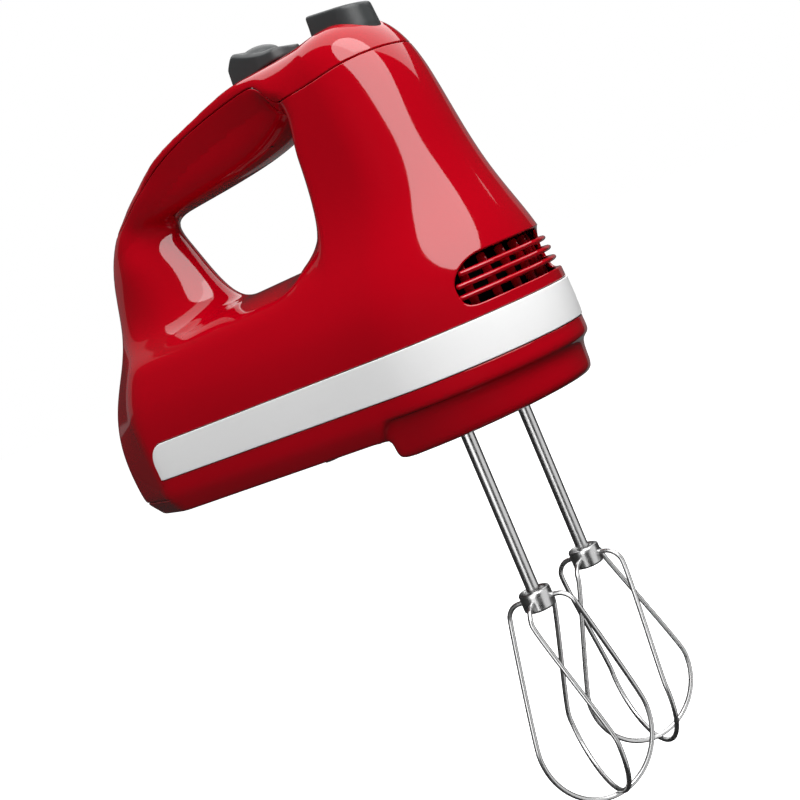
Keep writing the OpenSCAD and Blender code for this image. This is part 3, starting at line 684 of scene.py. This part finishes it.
MARGIN = np.array([3, 3, 3])
COVER_TOP = 124
body_high = np.array([BODY_LEN, HALF_W, COVER_TOP])
surface = surface_net(housing, shell_low - MARGIN, body_high + MARGIN, 1.6)
surface = refined(*surface, near_detail, 0.7)


def band_form(x, y, z):
    """The body's outside, a little proud."""
    return housing(x, y, z) - 0.3


for name, region, node in (("upper_shell", upper_region, "upper_housing"),
                           ("handle_cover", cover_region, "top_cover"),
                           ("lower_shell", lower_region, "lower_housing")):
    shell = mesh_object(name, *panel(surface, housing, region))
    settle(shell, "housing", "red_plastic", M["red_plastic"], node)
band = mesh_object("silver_band", *panel(surface, band_form, band_region, 1.4, 0.35))
settle(band, "housing", "band_silver", M["band_silver"], "trim_band")


# ---------------------------------------------------------------- swept and turned pieces
def tube_faces(rings, sides):
    """Faces round a row of rings of points, with a face to close each end."""
    faces = []
    for i in range(rings - 1):
        for k in range(sides):
            a, b = i * sides + k, i * sides + (k + 1) % sides
            faces.append((a, b, b + sides, a + sides))
    faces.append(tuple(range(sides))[::-1])
    faces.append(tuple((rings - 1) * sides + k for k in range(sides)))
    return faces


def swept(path, radius, sides, flat=(1, 1)):
    """A round bar along a path, closed by domed ends."""
    path = np.asarray(path, float)
    tangent = np.gradient(path, axis=0)
    tangent /= np.linalg.norm(tangent, axis=1, keepdims=True)
    guide = np.array([0, 0, 1.0]) if abs(tangent[0, 2]) < 0.9 else np.array([1.0, 0, 0])
    frames = []
    for t in tangent:
        guide = guide - t * (guide @ t)
        guide /= np.linalg.norm(guide)
        frames.append((guide.copy(), np.cross(t, guide)))
    rings = []
    dome = (0.38, 0.7, 0.92, 1.0)
    stations = [(0, -s) for s in reversed(dome)] + [(i, 0) for i in range(len(path))]
    stations += [(len(path) - 1, s) for s in dome]
    angle = np.arange(sides) * 2 * math.pi / sides
    for i, s in stations:
        width = radius * max(math.sqrt(1 - s * s), 0.02)
        u, v = frames[i]
        ring = flat[0] * np.cos(angle)[:, None] * u + flat[1] * np.sin(angle)[:, None] * v
        rings.append(path[i] + tangent[i] * s * radius + ring * width)
    return np.concatenate(rings), tube_faces(len(rings), sides)


def joined(*solids):
    """Several solids as one set of points and faces."""
    points, faces, start = [], [], 0
    for p, f in solids:
        points.append(np.asarray(p))
        faces += [tuple(int(i) + start for i in face) for face in f]
        start += len(p)
    return np.concatenate(points), faces


def turned(profile, centre, sides=48):
    """A solid of revolution, from (radius, height) points that start and end at its upright axis."""
    angle = np.arange(sides) * 2 * math.pi / sides
    points = [np.stack([centre[0] + r * np.cos(angle), centre[1] + r * np.sin(angle), np.full(sides, z)], 1)
              for r, z in profile]
    return np.concatenate(points), tube_faces(len(profile), sides)


def wall_point(u, height, depth):
    """A point on the nose wall, u along it from the front, drawn in by depth."""
    angle = u / NOSE_R
    spot = np.array([[NOSE_X + NOSE_LONG * math.cos(angle), NOSE_HALF * math.sin(angle), height]])
    spot = onto_surface(housing, spot)
    slope = field_slope(housing, spot)
    return (spot - depth * slope / np.linalg.norm(slope))[0]


# ---------------------------------------------------------------- vent
BAR_DEPTH, RIB_DEPTH, BACKING_DEPTH = 1.5, 6.8, 9.4
BARS = ((18.0, 37.9), (22.0, 37.4), (26.0, 34.8))     # height, and length to each side of the front


def vent_bar(height, reach):
    path = [wall_point(u, height, BAR_DEPTH) for u in np.linspace(-reach, reach, 60)]
    return swept(path, 1.0, 14, (1.0, 1.5))


bars = joined(*[vent_bar(height, reach) for height, reach in BARS])
settle(mesh_object("vent_bars", *bars), "housing", "red_plastic", M["red_plastic"])


def vent_rib(u):
    heights = np.linspace(VENT_LOW - 0.6, VENT_HIGH + 0.6, 8)
    return swept([wall_point(u, z, RIB_DEPTH) for z in heights], 0.7, 10, (2.8, 0.8))


ribs = joined(*[vent_rib(u) for u in np.arange(-33, 34, 11)])
settle(mesh_object("vent_ribs", *ribs), "housing", "red_plastic", M["red_plastic"], "vent_grille")


def vent_backing():
    """The wall behind the ribs, coloured near black with almost no gloss: painted shade for the dim inside of
    the vent.
    """
    heights = (VENT_LOW - 3, 19, 25, VENT_HIGH + 3)
    columns = [[wall_point(u, z, BACKING_DEPTH) for z in heights] for u in range(-56, 57, 4)]
    rows = len(heights)
    faces = [(i * rows + k, i * rows + k + 1, (i + 1) * rows + k + 1, (i + 1) * rows + k)
             for i in range(len(columns) - 1) for k in range(rows - 1)]
    return np.array(columns).reshape(-1, 3), faces


# A near-black, nearly glossless sheet behind the ribs: painted shade where the vent's inside lies in shadow
backing = mesh_object("vent_backing", *vent_backing())
thick = backing.modifiers.new("wall", "SOLIDIFY")
thick.thickness = 1.0 * MM
settle(backing, "housing", "dark_plastic", M["vent_shadow"])


# ---------------------------------------------------------------- controls
def button_form(x, y, z):
    """The eject button: square at the rear, round at the front, dished where the thumb goes."""
    low, high = node_box("eject_button")
    y = np.abs(y)
    taper = 0.07 * (z - low[2] - 6)
    half = high[1] - np.maximum(taper, 0)
    front = high[0] - high[1]
    ahead = np.maximum(x - front, 0)
    plan = np.hypot(ahead, y) - half
    plan = smooth_max(plan, low[0] + np.maximum(taper, 0) * 0.5 - x, 1.0)
    top = z - (high[2] - 0.4) + 0.2 * (x - low[0])
    solid = smooth_max(smooth_max(plan, top, 1.3), low[2] + 0.8 - z, 0.6)
    dish_long, dish_half, dish_deep = 5.2, 6, 3.6
    dish_x, dish_z = x - low[0] - 7.5, z - high[2] - 0.6
    dish = np.sqrt((dish_x / dish_long) ** 2 + (y / dish_half) ** 2 + (dish_z / dish_deep) ** 2) - 1
    return smooth_max(solid, -dish * dish_deep, 0.5)


low, high = node_box("eject_button")
button = mesh_object("press_button", *surface_net(button_form, low - 1, high + 1, 0.6))
settle(button, "ejector", "grey_button", M["grey_button"], "eject_button")


slider_low, slider_high = node_box("speed_slider")
# Height of the slider's top over its base, from its rear wall forwards
slider_top = curve_through(
    (-0.5, 6.2), (1, 7.8), (4.2, 10.8), (7, 9.8), (12, 7.2), (16, 5.6), (19, 4.6), (21.5, 4.2), (24, 3.4),
    (27, 2), (34, 0.5), ease=0.02)


def slider_form(x, y, z):
    """The speed slider: a steep rear wall, a raised thumb pad and a low tail towards the nose."""
    slope = 0.08
    start = slider_low[0] + 0.9
    along = (x - start) + slope * (z - 121)
    up = z - 121.3 - slope * (x - start)
    y = np.abs(y)
    half = 9.9 - 0.1 * np.maximum(up, 0) - 0.12 * np.maximum(along - 15, 0)
    side = smooth_max(y - half, (y - half) * 0.75 + (up - slider_top(along) + 1.4) * 0.66, 0.25)
    front = np.hypot(np.maximum(along - 17, 0), y * 0.86) - 9
    solid = smooth_max(smooth_max(side, -along + 0.08 * up, 0.6), front, 0.8)
    solid = smooth_max(solid, (up - slider_top(along)) * 0.8, 0.5)
    solid = smooth_max(solid, -up - 0.7, 0.5)
    pad_up = up - 6.3 + 0.12 * (along - 10)
    pad_high = 3.7
    pad = np.sqrt(((along - 10.6) / 7.4) ** 2 + (y / 8.3) ** 2 + (pad_up / pad_high) ** 2) - 1
    return smooth_min(solid, pad * pad_high, 0.35)


slider = mesh_object("speed_thumb", *surface_net(slider_form, slider_low - 1, slider_high + 1, 0.6))
settle(slider, "speed_control", "grey_button", M["grey_button"], "speed_slider")


# ---------------------------------------------------------------- beaters
WIRE_R = 0.93
HUB_R = 6.0
SHAFT_R = 2.5
AXIS_R = 0.02                     # a profile's end point on the axis, kept just off it
BASKET_DEEP = 24.3                # the inner wire of each basket is shallower, to clear the outer one
PHASE = {"left": -34.4, "right": 52.2}
TWIST = {"left": -40.0, "right": 40.0}


def around(radius, degrees, height):
    """A point by distance and direction from the beater's axis."""
    a = math.radians(degrees)
    return [radius * math.cos(a), radius * math.sin(a), height]


def half_loop(direction, twist, depth):
    """From the hub over the shoulder and down one side of the basket, as points."""
    shoulder_r, shoulder_at, basket_r, basket_z = 6.2, 7.2, 22.3, -53.5
    points = [around(HUB_R - 1.5, direction - twist, 0)]
    for t in map(math.radians, range(90, 9, -16)):
        out = shoulder_at + shoulder_r * math.cos(t)
        points.append(around(out, direction - twist, shoulder_r * (math.sin(t) - 1)))
    for u in map(math.radians, range(6, -83, -8)):
        points.append(around(basket_r * math.cos(u), direction, basket_z + depth * math.sin(u)))
    return points, basket_z


def loop_path(direction, twist, depth):
    """One whole wire: down one side, across under the axis and up the other side."""
    one, basket_z = half_loop(direction, twist, depth)
    other, _ = half_loop(direction + 180, twist, depth)
    return one + [[0, 0, basket_z - depth]] + other[::-1]


def smoothed(path):
    """A curve through the path's points, with a soft bend at each of them."""
    p = np.asarray(path, float)
    p = np.concatenate([[2 * p[0] - p[1]], p, [2 * p[-1] - p[-2]]])
    out = []
    for i in range(1, len(p) - 2):
        knot = [0.0]
        for a, b in ((p[i - 1], p[i]), (p[i], p[i + 1]), (p[i + 1], p[i + 2])):
            knot.append(knot[-1] + math.sqrt(np.linalg.norm(b - a)))
        t0, t1, t2, t3 = knot
        before, start, end, after = p[i - 1:i + 3]
        m1 = (start - before) / (t1 - t0) - (end - before) / (t2 - t0) + (end - start) / (t2 - t1)
        m2 = (end - start) / (t2 - t1) - (after - start) / (t3 - t1) + (after - end) / (t3 - t2)
        m1, m2 = m1 * (t2 - t1), m2 * (t2 - t1)
        count = max(2, int(np.linalg.norm(end - start) / 1.2))
        for s in np.arange(count) / count:
            out.append((2 * s ** 3 - 3 * s ** 2 + 1) * start + (s ** 3 - 2 * s ** 2 + s) * m1
                       + (3 * s ** 2 - 2 * s ** 3) * end + (s ** 3 - s ** 2) * m2)
    out.append(p[-2])
    return np.array(out)


def make_beater(side):
    """Two crossed wires, the hub that holds them, and the shaft with the ears that the spindle drives."""
    y = BEATER_Y if side == "left" else -BEATER_Y
    centre = np.array([BEATER_X, y])
    hub_low, hub_high = node_box(side + "_beater_hub")
    middle = (hub_low[2] + hub_high[2]) / 2

    def keep(name, solid, node):
        settle(mesh_object(name, *solid), side + "_beater", "stainless", M["stainless"], node)

    for letter, extra, depth in (("a", 0, BASKET_DEEP), ("b", 90, BASKET_DEEP - 2 * WIRE_R - 0.1)):
        path = smoothed(loop_path(PHASE[side] + extra, TWIST[side], depth))
        path = path + np.array([centre[0], centre[1], middle])
        keep(f"{side}_wire_{letter}", swept(path, WIRE_R, 14), f"{side}_beater_wire_{letter}")
    r, low_z, high_z = HUB_R, hub_low[2], hub_high[2]
    hub = [(AXIS_R, low_z + 1.2), (3.4, low_z + 1.2), (3.8, low_z + 0.1), (r - 1.1, low_z),
           (r - 0.5, low_z + 0.2), (r, low_z + 0.9), (r, low_z + 1.8), (r, middle), (r, high_z - 1.8),
           (r, high_z - 0.8), (r - 0.3, high_z - 0.25), (r - 0.9, high_z), (r - 1.5, high_z - 0.05),
           (r - 1.9, high_z - 0.4), (r - 2.1, high_z - 1.4), (AXIS_R, high_z - 1.5)]
    keep(side + "_collar", turned(hub, centre), side + "_beater_hub")
    bottom, top = (corner[2] for corner in SHAFTS[side])
    r = SHAFT_R
    shaft = [(AXIS_R, bottom + 0.6), (r - 0.5, bottom + 0.6), (r, bottom + 1.1), (r, middle),
             (r, middle + 30), (r, middle + 60), (r, top - 1.6), (r - 0.15, top - 1.1), (r - 1.1, top - 0.1),
             (AXIS_R, top)]
    ears = [(-3.6, -0.6), (3.6, -0.6), (3.6, 0.6), (-3.6, 0.6)]
    ear_points = [(centre[0] + a, centre[1] + b, z) for z in (-2, 4) for a, b in ears]
    ear_faces = [(3, 2, 1, 0), (4, 5, 6, 7)] + [(k, (k + 1) % 4, (k + 1) % 4 + 4, k + 4) for k in range(4)]
    keep(side + "_stem", joined(turned(shaft, centre), (ear_points, ear_faces)), side + "_beater_shaft")


for side in SIDES:
    make_beater(side)
for piece in bpy.data.objects:
    if piece.type == "MESH" and piece.name.endswith(("_collar", "_stem")):
        piece.data.set_sharp_from_angle(angle=math.radians(35))
for node in NODES.values():
    node.data.shade_smooth()
    node.data.set_sharp_from_angle(angle=math.radians(30))


# ---------------------------------------------------------------- stage, lights and camera
PULL_ROOM = 0.036                 # space over the floor for a beater that is pulled out


def stage_floor():
    """A wide pale floor that the camera sees, but that throws no light on the object."""
    z = cad_bounds[0][2] - PULL_ROOM
    reach = 40.0
    mesh = bpy.data.meshes.new("studio_floor")
    mesh.from_pydata([(-reach, -reach, z), (reach, -reach, z), (reach, reach, z), (-reach, reach, z)], [],
                     [(0, 1, 2, 3)])
    floor = bpy.data.objects.new("studio_floor", mesh)
    bpy.context.scene.collection.objects.link(floor)
    pale = finish_material("pale_floor", (0.9, 0.9, 0.9), (0.93, 0.93, 0.93), (0.6, 0.7), grain=40, patch=2,
                           Emission_Color=(1, 1, 1, 1), Emission_Strength=0.86)
    floor.data.materials.append(pale)
    floor.visible_glossy = False
    floor.visible_diffuse = False


CENTRE = Vector((126.5, 0, -10.2)) * MM           # where the camera looks
AZIMUTH, ELEVATION, ROLL = (math.radians(a) for a in (38.07, 4.50, -23.16))
DISTANCE = 0.5224
SENSOR, LENS = 36.0, 61.68
BACK = Vector((math.sin(AZIMUTH) * math.cos(ELEVATION), -math.cos(AZIMUTH) * math.cos(ELEVATION),
               math.sin(ELEVATION)))
LEVEL = Vector((math.cos(AZIMUTH), math.sin(AZIMUTH), 0))
UPRIGHT = BACK.cross(LEVEL)
RIGHT = LEVEL * math.cos(ROLL) + UPRIGHT * math.sin(ROLL)
UP = UPRIGHT * math.cos(ROLL) - LEVEL * math.sin(ROLL)


def make_camera():
    data = bpy.data.cameras.new("camera")
    data.sensor_width = SENSOR
    data.lens = LENS
    data.clip_start = 0.01
    camera = bpy.data.objects.new("camera", data)
    bpy.context.scene.collection.objects.link(camera)
    turn = Matrix((RIGHT, UP, BACK)).transposed()
    camera.matrix_world = Matrix.Translation(CENTRE + BACK * DISTANCE) @ turn.to_4x4()
    bpy.context.scene.camera = camera


def towards(across, height):
    """Direction from the object, by degrees across from the camera and degrees up in the picture."""
    a, h = math.radians(across), math.radians(height)
    return RIGHT * (math.sin(a) * math.cos(h)) + UP * math.sin(h) + BACK * (math.cos(a) * math.cos(h))


def softbox(name, across, height, distance, width, tall, power, shape="RECTANGLE", shown=True):
    """A soft area light facing the object, placed by direction as the picture shows it."""
    data = bpy.data.lights.new(name, "AREA")
    data.shape = shape
    data.size, data.size_y = width, tall
    data.energy = power
    light = bpy.data.objects.new(name, data)
    bpy.context.scene.collection.objects.link(light)
    way = towards(across, height)
    side = UP.cross(way).normalized()
    upright = way.cross(side)
    turn = Matrix((side, upright, way)).transposed()
    light.matrix_world = Matrix.Translation(SUBJECT + way * distance) @ turn.to_4x4()
    light.visible_glossy = shown
    return light


def make_world():
    """White behind the object, and a dark studio all round it for the gloss to mirror."""
    world = bpy.data.worlds.new("studio")
    world.use_nodes = True
    bpy.context.scene.world = world
    tree = world.node_tree
    background = tree.nodes["Background"]
    background.inputs["Color"].default_value = (1, 1, 1, 1)
    background.inputs["Strength"].default_value = 0.03
    shown = tree.nodes.new("ShaderNodeBackground")
    shown.inputs["Color"].default_value = (1, 1, 1, 1)
    shown.inputs["Strength"].default_value = 1.0
    path = tree.nodes.new("ShaderNodeLightPath")
    mix = tree.nodes.new("ShaderNodeMixShader")
    tree.links.new(path.outputs["Is Camera Ray"], mix.inputs["Fac"])
    tree.links.new(background.outputs["Background"], mix.inputs[1])
    tree.links.new(shown.outputs["Background"], mix.inputs[2])
    tree.links.new(mix.outputs["Shader"], tree.nodes["World Output"].inputs["Surface"])


def sunlight(across, height, strength, angle):
    """Even soft light from far away, which also keeps the floor equally bright to its edge."""
    data = bpy.data.lights.new("skylight", "SUN")
    data.energy = strength
    data.angle = math.radians(angle)
    light = bpy.data.objects.new("skylight", data)
    bpy.context.scene.collection.objects.link(light)
    light.rotation_euler = towards(across, height).to_track_quat("Z", "Y").to_euler()
    light.visible_glossy = False


def only_for(light, pieces):
    """Lets a light reach these pieces alone, as a small card does when it stands close to them."""
    group = bpy.data.collections.new(light.name + "_pieces")
    for piece in pieces:
        group.objects.link(piece)
    light.light_linking.receiver_collection = group


SUBJECT = Vector((120, 0, 45)) * MM
stage_floor()
make_camera()
make_world()
sunlight(-20, 62, 0.9, 40)
softbox("front", across=2, height=44, distance=0.9, width=0.98, tall=0.84, power=8.6, shape="ELLIPSE")
softbox("overhead", across=-132, height=80, distance=1.0, width=1.85, tall=1.85, power=17)
softbox("nose_edge", across=160, height=8, distance=1.3, width=0.9, tall=1.2, power=0.5)
softbox("left_rear", across=-130, height=8, distance=1.1, width=0.5, tall=0.7, power=0.15)
softbox("under", across=-60, height=-62, distance=1.0, width=1.3, tall=0.8, power=2.5, shown=False)
softbox("fill", across=-15, height=-10, distance=1.6, width=1.6, tall=1.2, power=6, shown=False)
METAL_PIECES = ("_wire_a", "_wire_b", "_collar", "_stem")
metals = [bpy.data.objects[side + end] for side in SIDES for end in METAL_PIECES]
# Cards that light the band or the metal alone
band_card = softbox("band_card", across=-15, height=-10, distance=1.6, width=1.6, tall=1.2, power=2.7,
                    shown=False)
metal_front = softbox("metal_front", across=-22, height=6, distance=0.9, width=0.7, tall=1.6, power=7)
metal_side = softbox("metal_side", across=62, height=0, distance=0.9, width=0.9, tall=1.6, power=4.2)
only_for(band_card, [band])
only_for(metal_front, metals)
only_for(metal_side, metals)
bpy.context.scene.view_settings.view_transform = "Standard"
